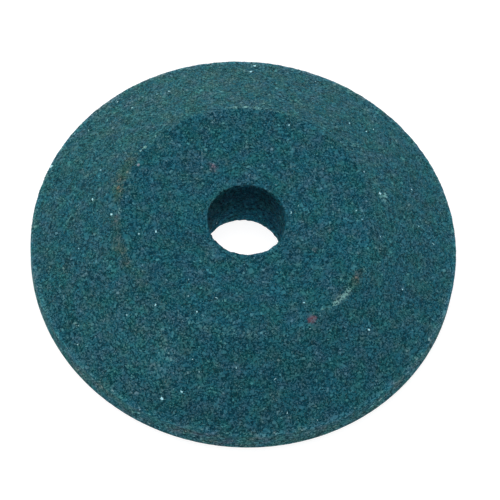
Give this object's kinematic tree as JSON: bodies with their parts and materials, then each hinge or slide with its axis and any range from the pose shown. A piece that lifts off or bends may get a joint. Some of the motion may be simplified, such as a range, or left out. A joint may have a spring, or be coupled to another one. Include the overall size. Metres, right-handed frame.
{
  "type": "grinding wheel",
  "caption": "Small one-piece bonded-abrasive grinding wheel with a plain through bore, a flat hub face and one side bevelled to a thin straight rim.",
  "frame": {"origin": "on the bore axis, in the flat back face that the wheel lies on", "axes": "+Z along the bore axis, out of the bevelled side"},
  "size_m": [0.045, 0.045, 0.0078],
  "materials": {
    "bonded_abrasive": "matt, open-grained, dark teal silicon carbide in a ceramic bond"
  },
  "bodies": {
    "root": {"abrasive_wheel": "bonded_abrasive"}
  },
  "joints": []
}
